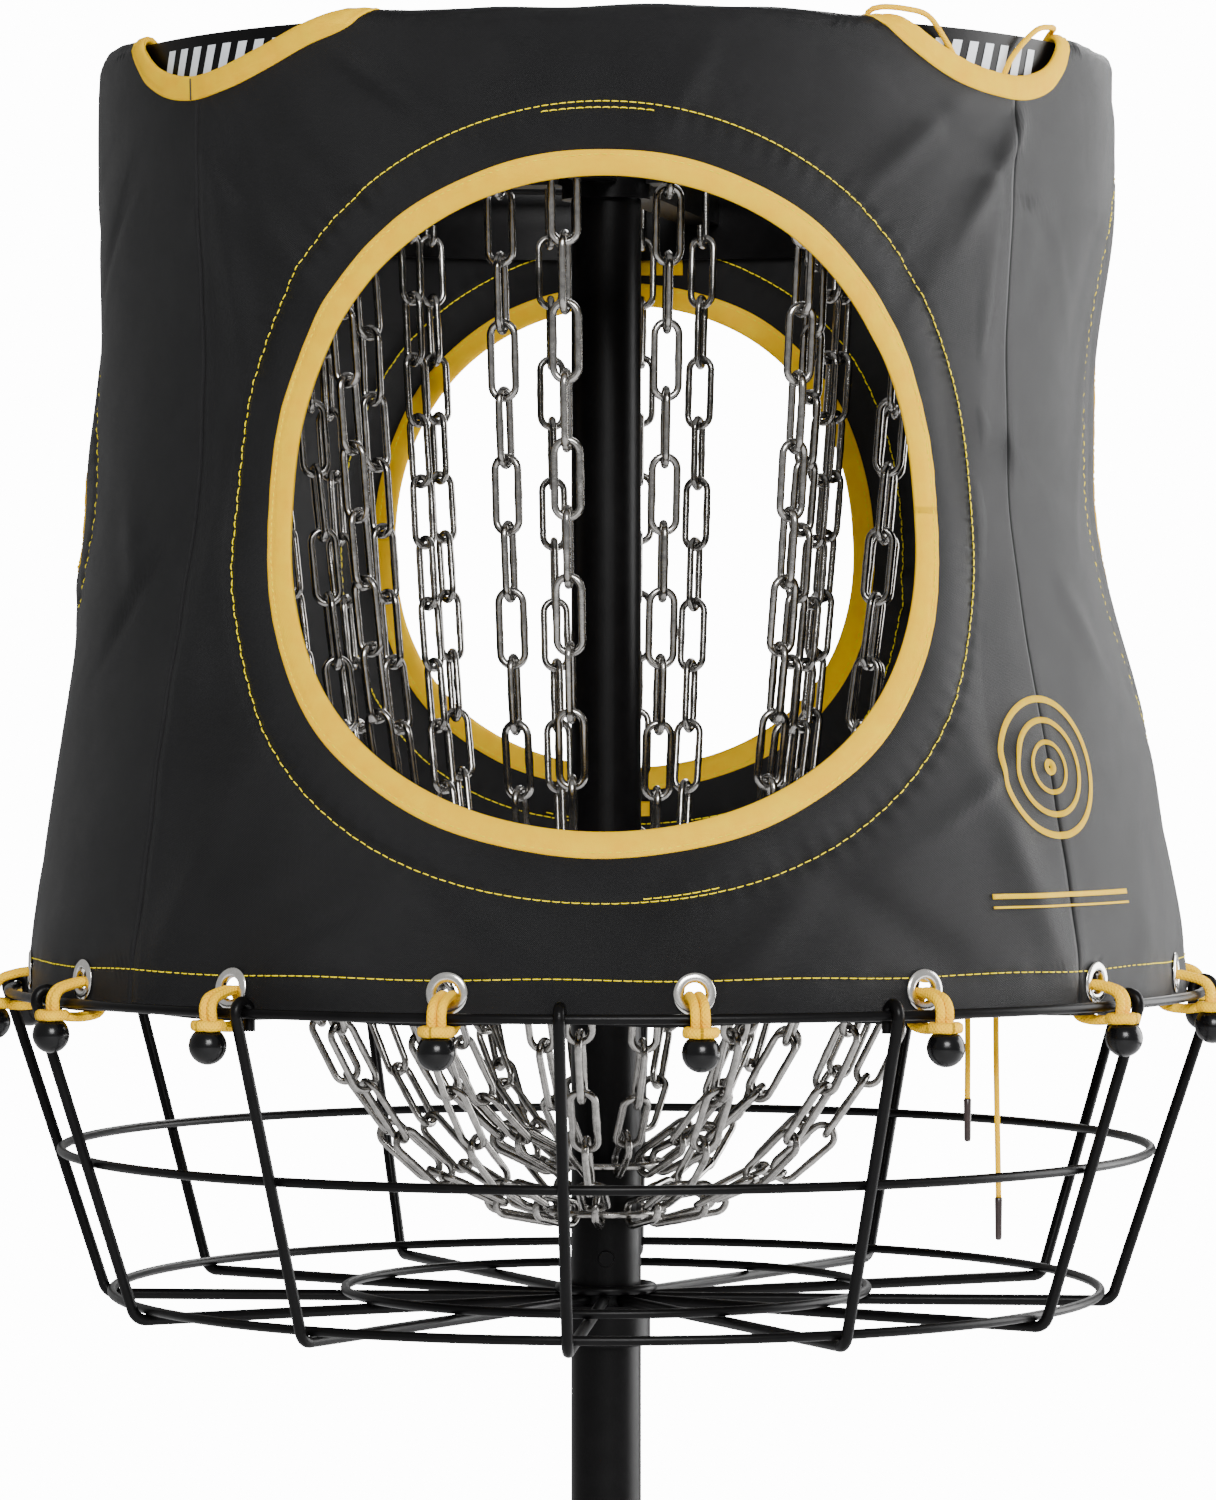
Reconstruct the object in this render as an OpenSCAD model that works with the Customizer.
// Portable disc golf basket with a fitted putting cover.
// Frame: origin at the centre of the base on the ground, +Z up, front window faces -Y.
// Azimuths are in degrees, 0 at the front (-Y), positive towards +X.

/* [Base] */
// Centreline radius of the base ring
base_r = 270; // [250:5:290]
// Diameter of the base ring's tube
base_tube_d = 22; // [20:1:25]
// Height of the rubber feet under the ring
foot_h = 8; // [6:1:10]
// Height of the socket that takes the pole
socket_h = 120; // [100:5:140]

/* [Pole] */
// Outer diameter of the pole
pole_d = 38; // [36:0.5:40]
// Wall thickness of the pole
pole_wall = 1.8; // [1.5:0.1:2.5]
// Height of the joint between the two pole sections
pole_joint_z = 656; // [652:1:660]

/* [Cage] */
// Height of the rim ring
rim_z = 835.6; // [830:0.2:840]
// Centreline radius of the rim ring
rim_r = 322.5; // [315:0.5:325]
// Wire diameter of the cage's rings
ring_wire = 5; // [4:0.5:6]
// Wire diameter of the upright cage wires
cage_wire = 6; // [5:0.5:6.5]
// Number of upright cage wires
cage_count = 12; // [8:1:14]
// Height of the cage floor's wires
floor_z = 667.4; // [666:0.2:672]
// Lean of the cage's wall from the vertical
wall_lean = 18.2; // [18:0.1:19.5]

/* [Band] */
// Outer radius of the top band
band_r = 268; // [260:1:268]
// Height of the band's lower edge
band_z = 1250; // [1240:1:1260]
// Height of the band
band_h = 82; // [70:1:82]

/* [Chains] */
// Wire diameter of the chain
chain_wire = 4; // [3:0.5:4]
// Pitch of the chain's links
chain_pitch = 34.6; // [34:0.1:35]
// Outer width of a link
link_w = 17; // [15:0.5:17]
// Links in each outer chain, an even number
outer_links = 18; // [16:2:18]
// Links in each inner chain, an even number
inner_links = 16; // [14:2:16]
// Chains in each of the two circles
chain_count = 12; // [8:1:12]
// Centreline radius of the two rings that gather the chains
gather_r = 31; // [29:0.5:33]

/* [Cover] */
// Thickness of the cover's fabric as a solid
cover_t = 2; // [1.5:0.5:2]
// Radius of the front window
front_window_r = 162; // [150:1:165]
// Radius of the back window
back_window_r = 136; // [120:1:140]
// Half width of the oval window on the right
right_window_r = 42; // [36:1:50]
// Height of the oval window on the right
right_window_h = 236; // [200:2:250]
// Radius of the round window on the left
left_window_r = 50; // [44:1:60]
// Number of grommets and ties round the hem
tie_count = 16; // [8:1:16]

/* [Hidden] */
$fn = 48;
fit_gap = 0.05;
part_gap = 0.3;
bar_trim = 0.2;
bar_bead = 0.12;
outer_names = ["outer_chain_01", "outer_chain_02", "outer_chain_03", "outer_chain_04",
               "outer_chain_05", "outer_chain_06", "outer_chain_07", "outer_chain_08",
               "outer_chain_09", "outer_chain_10", "outer_chain_11", "outer_chain_12"];
inner_names = ["inner_chain_01", "inner_chain_02", "inner_chain_03", "inner_chain_04",
               "inner_chain_05", "inner_chain_06", "inner_chain_07", "inner_chain_08",
               "inner_chain_09", "inner_chain_10", "inner_chain_11", "inner_chain_12"];

// Base
base_axis_z = foot_h + base_tube_d / 2;
foot_d = 26;
foot_count = 6;
spoke_d = 19;
spoke_count = 3;
socket_wall = 4;
socket_r = pole_d / 2 + fit_gap + socket_wall;
socket_floor_z = foot_h + 4;
socket_top_z = foot_h + socket_h;
screw_z = socket_top_z - 22;
screw_d = 8;
boss_r = 9;
boss_end = socket_r + 12;
knob_r = 19;
knob_t = 12;
knob_neck_r = 10;
knob_neck_h = 4;
knob_flute_r = 9;

// Pole
pole_r = pole_d / 2;
pole_bore_r = pole_r - pole_wall;
pole_bottom_z = socket_floor_z + part_gap;
pole_top_z = 1306;
cap_plug = 14;
cap_h = 3;
coupler_wall = 1.6;
coupler_z = 560;
coupler_top_z = 710;
button_z = 690;
button_d = 8;
button_proud = 2.5;
button_head = 2;
spring_t = 1;
spring_w = 8;
spring_rise = 40;
spring_tail = 10;
coupler_bore_r = pole_bore_r - fit_gap - coupler_wall;
spring_y = coupler_bore_r - part_gap - spring_t - button_head - 4.6;
spring_r = spring_y - part_gap;

// Cage
wire_touch = (ring_wire + cage_wire) / 2 + 0.1;
crown_z = rim_z + wire_touch;
crown_r = rim_r + wire_touch * tan(45 + wall_lean / 2);
stub_z = rim_z - 9;
wall_top = [rim_r + wire_touch * cos(wall_lean), rim_z - wire_touch * sin(wall_lean)];
wall_foot_r = wall_top[0] - (wall_top[1] - floor_z) * tan(wall_lean);
wall_bend = 8;
cage_phase = -4;
middle_z = 750;
middle_r = wall_top[0] - (wall_top[1] - middle_z) * tan(wall_lean) - wire_touch / cos(wall_lean);
floor_ring_z = floor_z + wire_touch;
bottom_ring_r = wall_foot_r - wall_bend * tan(45 - wall_lean / 2);
floor_ring_r = 141.5;
hub_ring_r = 25.2;
spoke_end_r = pole_r + 1;
collar_r = pole_r + 5;
collar_h = 22;
collar_top_z = floor_z - cage_wire / 2 - 0.1;
collar_z = collar_top_z - collar_h;
collar_screw = 6;
grub_d = 5;
grub_l = 5.4;
grub_socket_d = 2.6;

// Band and what hangs in it
band_t = 1.5;
arm_w = 22;
arm_h = 16;
arm_wall = 1.5;
arm_count = 4;
arm_phase = -12;
arm_z = 1270;
band_hub_r = pole_r + 5;
band_hub_z = arm_z - 8;
band_hub_h = 34;
band_hub_screw = 5;
hang_wire = 6;
hang_ring_z = arm_z + arm_h + hang_wire / 2 + 0.05;

// Chains. The slope of link i, counted from the bottom, grows towards the top.
joint_gap = 0.5;
hook_end = 6;
link_len = chain_pitch + 2 * chain_wire + joint_gap;
half_joint = (chain_wire + joint_gap) / 2;
outer_gather_z = 714.5;
inner_gather_z = 740.5;
outer_slope = [0.20, 0.60];
inner_slope = [0.50, 1.05];
outer_phase = 25;
inner_phase = 11;
outer_top = chain_joint(outer_links, outer_slope, chain_foot(outer_gather_z));
inner_top = chain_joint(inner_links, inner_slope, chain_foot(inner_gather_z));

// Cover profile, as radius and height of its outer face from the hem to the band's top
cover_top_z = 1336;
hem_z = 832;
cover_outline = [[313, hem_z], [313, 862], [302, 908], [288, 966], [277, 1025], [268, 1092],
                 [267.5, 1170], [273.3, 1240], [273.3, 1330], [270, cover_top_z]];
flap_r = 260.5;
flap_t = 2.5;
flap_z = 1300;
window_z = 1090;
right_window_z = 1122;
left_window_z = 1105;
side_window_a = 97;
seams = [-50, 50, 130, 230];
arch_r = 160;
arch_depth = 27;
arch_z = cover_top_z - arch_depth + arch_r;
arches = [45, 135, 225, 315];

// Grommets and ties
grommet_z = 847.8;
grommet_r = 10.7;
grommet_hole_r = 5.8;
grommet_barrel_r = 6.8;
grommet_t = 1;
grommet_grip = grommet_t + cover_t + 0.5;
tie_phase = 8;
ball_r = 9.6;
ball_at = [331, 819.5];
ball_flat_z = 826.6;
wrap_r = 9;
wrap_h = 5.6;
tie_cord = 5;
tie_pair_w = 10.2;
tie_route = [[331, 831], [330.5, 837], [327, 841.5], [320.5, 844.8], [312, 847.8], [305.5, 847],
             [302.5, 842], [302.5, 833], [305.5, 828.6], [312, 827.9], [321, 829], [329, 829.6]];

// Drawcord and the two free ends of its lace, as azimuth, radius and height
drawcord_r = 258.5;
drawcord_z = 1304;
lace_d = 3;
lace_left_route = [[33, 258.5, 1307], [31.5, 258.5, 1318], [30.5, 259.5, 1329], [30, 263, 1336.5],
                   [31, 268, 1339], [33.5, 272, 1338.5], [36.5, 272.5, 1336], [39, 271, 1326],
                   [41, 269.8, 1315], [42, 269.7, 1300], [42, 269.7, 1275], [42, 269.7, 1250],
                   [42, 268, 1230], [42.5, 265, 1210], [43, 263.5, 1190], [43, 263, 1160],
                   [43.5, 263, 1110], [43.5, 263, 1050], [44, 263, 980], [44, 263, 900],
                   [44.5, 263, 830], [44.5, 263, 788]];
lace_right_route = [[58, 258.5, 1307], [59.5, 258.5, 1318], [60.5, 259.5, 1329], [61, 263, 1336.5],
                    [60, 268, 1339], [57.5, 272, 1338.5], [54.5, 272.5, 1336], [51.5, 271, 1326],
                    [49.5, 269.8, 1315], [48, 269.7, 1300], [47.5, 269.7, 1275], [47.5, 269.7, 1250],
                    [47.5, 268, 1230], [48, 265, 1210], [48, 263.5, 1190], [48.5, 263, 1160],
                    [48.5, 263, 1110], [49, 263, 1050], [49, 263, 980], [49.5, 263, 900],
                    [49.5, 263, 820], [50, 263, 736]];
aglet_d = 4;
aglet_l = 22;

// ---- Shared shapes ----

module at_azimuth(a) rotate([0, 0, a - 90]) children();

module around(count, phase) for (i = [0 : count - 1]) at_azimuth(phase + i * 360 / count) children();

module wire_ring(r, z, d) translate([0, 0, z]) rotate_extrude() translate([r, 0]) circle(d = d);

module tube(r, wall, z0, z1) translate([0, 0, z0]) difference() {
  cylinder(r = r, h = z1 - z0);
  translate([0, 0, -1]) cylinder(r = r - wall, h = z1 - z0 + 2);
}

// A round bar along flat points, standing in the XZ plane, with corner i bent to radius bends[i].
// Bars and bends stop bar_trim short of each other and a bead of metal joins them.
function unit(v) = v / norm(v);
function heading(v) = atan2(v[1], v[0]);
function corner_half(p, i) = acos(unit(p[i - 1] - p[i]) * unit(p[i + 1] - p[i])) / 2;
function corner_cut(p, i, bend) = bend / tan(corner_half(p, i));
function corner_centre(p, i, bend) =
  p[i] + unit(unit(p[i - 1] - p[i]) + unit(p[i + 1] - p[i])) * bend / sin(corner_half(p, i));

module bent_bar(p, bends, d) rotate([90, 0, 0]) {
  last = len(p) - 1;
  for (i = [0 : last - 1]) {
    along = unit(p[i + 1] - p[i]);
    from = i == 0 ? 0 : corner_cut(p, i, bends[i]) + bar_trim;
    to = norm(p[i + 1] - p[i]) - (i == last - 1 ? 0 : corner_cut(p, i + 1, bends[i + 1]) + bar_trim);
    if (to - from > 1) translate(p[i] + along * from) rotate([0, 0, heading(along)]) rotate([0, 90, 0])
      cylinder(d = d, h = to - from);
    if (i > 0) translate(p[i] + along * (from - bar_trim)) sphere(d = d + bar_bead);
    if (i < last - 1 && to - from > 1) translate(p[i] + along * (to + bar_trim)) sphere(d = d + bar_bead);
  }
  for (i = [1 : last - 1]) {
    centre = corner_centre(p, i, bends[i]);
    before = heading(p[i] + unit(p[i - 1] - p[i]) * corner_cut(p, i, bends[i]) - centre);
    after = heading(p[i] + unit(p[i + 1] - p[i]) * corner_cut(p, i, bends[i]) - centre);
    turn = (after - before + 540) % 360 - 180;
    trim = bar_trim / bends[i] * 180 / PI;
    translate(centre) rotate([0, 0, (turn > 0 ? before : after) + trim])
      rotate_extrude(angle = abs(turn) - 2 * trim) translate([bends[i], 0]) circle(d = d);
  }
}

// A soft cord through points in space: an eight-sided tube, wide across side_of and thick along it
function tangent(p, i) = unit(p[min(i + 1, len(p) - 1)] - p[max(i - 1, 0)]);
function cord_ring(at, t, side, w, d) =
  let (a = unit(side - t * (side * t)), b = cross(t, a))
  [for (k = [0 : 7]) at + a * cos(k * 45 + 22.5) * d / 2 + b * sin(k * 45 + 22.5) * w / 2];

module cord(p, side, w, d) {
  n = len(p);
  rings = [for (i = [0 : n - 1]) each cord_ring(p[i], tangent(p, i), side, w, d)];
  sides = [for (i = [0 : n - 2], k = [0 : 7])
    let (a = i * 8 + k, b = i * 8 + (k + 1) % 8) [b, a, a + 8, b + 8]];
  ends = [[for (k = [0 : 7]) k], [for (k = [7 : -1 : 0]) (n - 1) * 8 + k]];
  polyhedron(points = rings, faces = concat(sides, ends), convexity = 8);
}

function polar(q) = [q[1] * sin(q[0]), -q[1] * cos(q[0]), q[2]];

// ---- Base ----

module base_ring() color("#26272a") wire_ring(base_r, base_axis_z, base_tube_d);

module base_hub() color("#2a2b2e") difference() {
  union() {
    translate([0, 0, foot_h]) cylinder(r = socket_r, h = socket_h);
    translate([0, 0, screw_z]) rotate([-90, 0, 0]) cylinder(r = boss_r, h = boss_end);
    around(spoke_count, 0) translate([0, 0, base_axis_z]) rotate([0, 90, 0])
      cylinder(d = spoke_d, h = base_r);
  }
  translate([0, 0, socket_floor_z]) cylinder(r = pole_r + fit_gap, h = socket_h);
  translate([0, 0, screw_z]) rotate([-90, 0, 0]) cylinder(d = screw_d + 0.1, h = boss_end + 1);
  wire_ring(base_r, base_axis_z, base_tube_d);
}

module base_feet() color("#1b1b1c") difference() {
  around(foot_count, 30) translate([base_r, 0, 0]) cylinder(d = foot_d, h = foot_h + 4);
  wire_ring(base_r, base_axis_z, base_tube_d);
}

module base_screw() color("#1d1d1f") translate([0, 0, screw_z]) rotate([-90, 0, 0]) {
  translate([0, 0, pole_r + part_gap]) cylinder(d = screw_d, h = boss_end - pole_r + 4);
  translate([0, 0, boss_end + 1]) difference() {
    union() {
      cylinder(r = knob_neck_r, h = knob_neck_h + 1);
      translate([0, 0, knob_neck_h]) cylinder(r = knob_r, h = knob_t);
    }
    for (i = [0 : 5]) rotate([0, 0, i * 60]) translate([knob_r + 5, 0, knob_neck_h - 1])
      cylinder(r = knob_flute_r, h = knob_t + 2);
  }
}

// ---- Pole ----

module pole_lower() color("#1c1d20") tube(pole_r, pole_wall, pole_bottom_z, pole_joint_z - 0.1);

module pole_upper() color("#1c1d20") difference() {
  tube(pole_r, pole_wall, pole_joint_z + 0.1, pole_top_z);
  translate([0, 0, button_z]) rotate([90, 0, 0]) cylinder(d = button_d + 0.6, h = pole_d);
}

module pole_coupler() color("#8d9093") difference() {
  tube(pole_bore_r - fit_gap, coupler_wall, coupler_z, coupler_top_z);
  translate([0, 0, button_z]) rotate([90, 0, 0]) cylinder(d = button_d + 0.6, h = pole_d);
}

module snap_button() color("#c9ccd0") translate([0, -spring_y, button_z]) rotate([90, 0, 0]) {
  cylinder(d = button_d + 3, h = button_head);
  cylinder(d = button_d, h = pole_r + button_proud - spring_y);
}

module button_spring() color("#9ba0a5") translate([0, 0, button_z]) rotate([90, 0, 90])
  translate([0, 0, -spring_w / 2]) linear_extrude(spring_w) difference() {
    union() {
      for (side = [-1, 1]) translate([side * (spring_r - spring_t / 2), (spring_rise - spring_tail) / 2])
        square([spring_t, spring_rise + spring_tail], center = true);
      translate([0, spring_rise]) circle(r = spring_r);
    }
    translate([0, spring_rise]) circle(r = spring_r - spring_t);
    translate([0, spring_rise / 2 - spring_tail])
      square([2 * (spring_r - spring_t), spring_rise + 2 * spring_tail], center = true);
  }

module pole_cap() color("#151516") translate([0, 0, pole_top_z]) {
  translate([0, 0, -cap_plug]) cylinder(r = pole_bore_r - fit_gap, h = cap_plug);
  cylinder(r = pole_r, h = cap_h);
  translate([0, 0, cap_h]) cylinder(r1 = pole_r, r2 = pole_r - 3, h = 2);
}

// ---- Cage ----

module cage_collar() color("#1c1d20") difference() {
  tube(collar_r, collar_r - pole_r - fit_gap, collar_z, collar_top_z);
  translate([0, 0, collar_z + collar_screw]) rotate([-90, 0, 0]) cylinder(d = grub_d + 0.1, h = 60);
}

module set_screws() color("#77797d") {
  translate([0, pole_r + 0.1, collar_z + collar_screw]) rotate([-90, 0, 0]) grub_screw();
  translate([0, pole_r + 0.1, band_hub_z + band_hub_screw]) rotate([-90, 0, 0]) grub_screw();
}

module grub_screw() difference() {
  cylinder(d = grub_d, h = grub_l);
  translate([0, 0, grub_l / 2 + 0.3]) cylinder(d = grub_socket_d, h = grub_l);
}

module rim_ring() color("#202124") wire_ring(rim_r, rim_z, ring_wire);
module middle_ring() color("#202124") wire_ring(middle_r, middle_z, ring_wire);
module bottom_ring() color("#202124") wire_ring(bottom_ring_r, floor_ring_z, ring_wire);
module floor_ring() color("#202124") wire_ring(floor_ring_r, floor_ring_z, ring_wire);
module hub_ring() color("#202124") wire_ring(hub_ring_r, floor_ring_z, ring_wire);

module cage_wires() color("#202124") around(cage_count, cage_phase) {
  path = [[rim_r - wire_touch, stub_z], [rim_r - wire_touch, crown_z], [crown_r, crown_z],
          [wall_foot_r, floor_z], [spoke_end_r, floor_z]];
  bent_bar(path, [0, wire_touch, wire_touch, wall_bend], cage_wire);
}

// ---- Band ----

module band() color("#17181b") tube(band_r, band_t, band_z, band_z + band_h);

module band_arms() color("#3a3c3f") around(arm_count, arm_phase) translate([0, 0, arm_z]) difference() {
  translate([band_hub_r + 0.1, -arm_w / 2, 0]) cube([band_r - band_t - band_hub_r - 1.2, arm_w, arm_h]);
  translate([0, -arm_w / 2 + arm_wall, arm_wall]) cube([band_r, arm_w - 2 * arm_wall, arm_h - 2 * arm_wall]);
}

module band_hub() color("#3a3c3f") difference() {
  tube(band_hub_r, band_hub_r - pole_r - fit_gap, band_hub_z, band_hub_z + band_hub_h);
  translate([0, 0, band_hub_z + band_hub_screw]) rotate([-90, 0, 0]) cylinder(d = grub_d + 0.1, h = 60);
}

// ---- Chains ----

function link_tilt(i, slope) = atan(slope[0] + slope[1] * i * i / (i + 1.5));
function link_step(i, slope) = chain_pitch * [cos(link_tilt(i, slope)), sin(link_tilt(i, slope))];
function chain_joint(i, slope, foot) =
  i == 0 ? foot : chain_joint(i - 1, slope, foot) + link_step(i - 1, slope);
function chain_foot(z) = [gather_r - half_joint, z];

module link() {
  bend = (link_w - chain_wire) / 2;
  straight = link_len - link_w;
  for (side = [0, 180]) rotate([0, 0, side]) {
    translate([straight / 2, 0, 0]) rotate([0, 0, -90]) rotate_extrude(angle = 180)
      translate([bend, 0]) circle(d = chain_wire);
    translate([-straight / 2, bend, 0]) rotate([0, 90, 0]) cylinder(d = chain_wire, h = straight);
  }
}

module chain(count, slope, foot) for (i = [0 : count - 1]) {
  middle = (chain_joint(i, slope, foot) + chain_joint(i + 1, slope, foot)) / 2;
  translate([middle[0], 0, middle[1]]) rotate([0, -link_tilt(i, slope), 0])
    rotate([i % 2 == 0 ? 90 : 0, 0, 0]) link();
}

module outer_chain(i) color("#b9bbbd") at_azimuth(outer_phase + i * 360 / chain_count)
  chain(outer_links, outer_slope, chain_foot(outer_gather_z));

module inner_chain(i) color("#b9bbbd") at_azimuth(inner_phase + i * 360 / chain_count)
  chain(inner_links, inner_slope, chain_foot(inner_gather_z));

// A hook from a hang ring down into the top link of a chain
module hook(top) {
  bend = (hang_wire + chain_wire) / 2 + 0.2;
  drop = round((hang_ring_z - top[1] + half_joint - bend) * 10) / 10;
  translate([round(top[0] * 10) / 10, 0, hang_ring_z]) rotate([90, 0, 0]) {
    rotate_extrude(angle = 180) translate([bend, 0]) circle(d = chain_wire);
    translate([-bend, 0, 0]) rotate([90, 0, 0]) cylinder(d = chain_wire, h = hook_end);
    translate([bend, 0, 0]) rotate([90, 0, 0]) cylinder(d = chain_wire, h = drop);
    translate([0, -drop, 0]) rotate([0, 0, 180]) rotate_extrude(angle = 180)
      translate([bend, 0]) circle(d = chain_wire);
    translate([-bend, -drop, 0]) rotate([-90, 0, 0]) cylinder(d = chain_wire, h = hook_end);
  }
}

module chain_hooks() color("#b9bbbd") {
  around(chain_count, outer_phase) hook(outer_top);
  around(chain_count, inner_phase) hook(inner_top);
}

module hang_rings() color("#3a3c3f") {
  for (top = [outer_top, inner_top]) wire_ring(round(top[0] * 10) / 10, hang_ring_z, hang_wire);
}

module outer_chain_ring() color("#b9bbbd") wire_ring(gather_r, outer_gather_z, chain_wire);
module inner_chain_ring() color("#b9bbbd") wire_ring(gather_r, inner_gather_z, chain_wire);

// ---- Cover ----

function inner_face(outline) =
  [for (i = [len(outline) - 1 : -1 : 0]) [outline[i][0] - cover_t, outline[i][1]]];

module cover_section() {
  last = len(cover_outline) - 1;
  wall = [for (i = [0 : last - 1]) cover_outline[i]];
  top = cover_top_z - cover_t - 1.2;
  polygon(concat(wall, [cover_outline[last], [flap_r + 2, cover_top_z], [flap_r, cover_top_z - 4],
    [flap_r, flap_z], [flap_r + flap_t, flap_z], [flap_r + flap_t, top],
    [cover_outline[last - 1][0] - cover_t, top]], inner_face([for (i = [0 : last - 2]) wall[i]])));
}

module cover_panel(from, to) difference() {
  rotate([0, 0, from - 90]) rotate_extrude(angle = to - from) cover_section();
  for (a = arches) at_azimuth(a) translate([200, 0, arch_z]) rotate([0, 90, 0]) cylinder(r = arch_r, h = 100);
  around(tie_count, tie_phase) translate([290, 0, grommet_z]) rotate([0, 90, 0])
    cylinder(r = grommet_barrel_r + 0.2, h = 40);
  children();
}

module window_bore(a, z, r) at_azimuth(a) translate([150, 0, z]) rotate([0, 90, 0]) cylinder(r = r, h = 200);

module cover_front() color("#232427") cover_panel(seams[0], seams[1]) window_bore(0, window_z, front_window_r);
module cover_back() color("#232427") cover_panel(seams[2], seams[3]) window_bore(180, window_z, back_window_r);
module cover_left() color("#232427") cover_panel(seams[3], 360 + seams[0])
  window_bore(-side_window_a, left_window_z, left_window_r);
module cover_right() color("#232427") cover_panel(seams[1], seams[2])
  at_azimuth(side_window_a) translate([150, 0, right_window_z]) rotate([90, 0, 90]) linear_extrude(200)
    polygon([for (k = [0 : 39]) [right_window_r * cos(k * 9), right_window_h / 2 * sin(k * 9)]]);

module grommets() color("#d9dadb") around(tie_count, tie_phase)
  translate([cover_outline[0][0] - cover_t - grommet_t - 0.2, 0, grommet_z]) rotate([0, 90, 0]) rotate_extrude()
    polygon([[grommet_hole_r, 0], [grommet_r - 1, 0], [grommet_r - 1, grommet_t], [grommet_barrel_r, grommet_t],
      [grommet_barrel_r, grommet_grip], [grommet_r, grommet_grip],
      [grommet_r - 0.6, grommet_grip + grommet_t], [grommet_hole_r, grommet_grip + grommet_t]]);

module tie_loops() color("#f2c230") around(tie_count, tie_phase) {
  cord([for (q = tie_route) [q[0], 0, q[1]]], [0, 1, 0], tie_cord, tie_pair_w);
  translate([ball_at[0], 0, ball_flat_z]) cylinder(r = wrap_r, h = wrap_h);
}

module tie_balls() color("#161617") around(tie_count, tie_phase) difference() {
  translate([ball_at[0], 0, ball_at[1]]) sphere(r = ball_r);
  translate([ball_at[0] - 20, -20, ball_flat_z - 0.05]) cube(40);
}

// ---- Lace ----

lace_left_path = [for (q = lace_left_route) polar(q)];
lace_right_path = [for (q = lace_right_route) polar(q)];

module drawcord() color("#f2c230") wire_ring(drawcord_r, drawcord_z, lace_d);
module lace_left() color("#f2c230") cord(lace_left_path, polar([40, 1, 0]), lace_d, lace_d);
module lace_right() color("#f2c230") cord(lace_right_path, polar([45, 1, 0]), lace_d, lace_d);
module lace_tips() color("#2b2420") for (end = [lace_left_path[len(lace_left_path) - 1],
                                                lace_right_path[len(lace_right_path) - 1]])
  translate(end + [0, 0, -aglet_l]) cylinder(d = aglet_d, h = aglet_l - 0.3);

base_ring();
base_hub();
base_feet();
base_screw();
pole_lower();
pole_upper();
pole_coupler();
button_spring();
snap_button();
pole_cap();
cage_collar();
set_screws();
rim_ring();
middle_ring();
bottom_ring();
floor_ring();
hub_ring();
cage_wires();
band();
band_arms();
band_hub();
hang_rings();
chain_hooks();
outer_chain_ring();
inner_chain_ring();
cover_front();
cover_right();
cover_back();
cover_left();
grommets();
tie_loops();
tie_balls();
drawcord();
lace_left();
lace_right();
lace_tips();
for (i = [0 : 11]) outer_chain(i);
for (i = [0 : 11]) inner_chain(i);
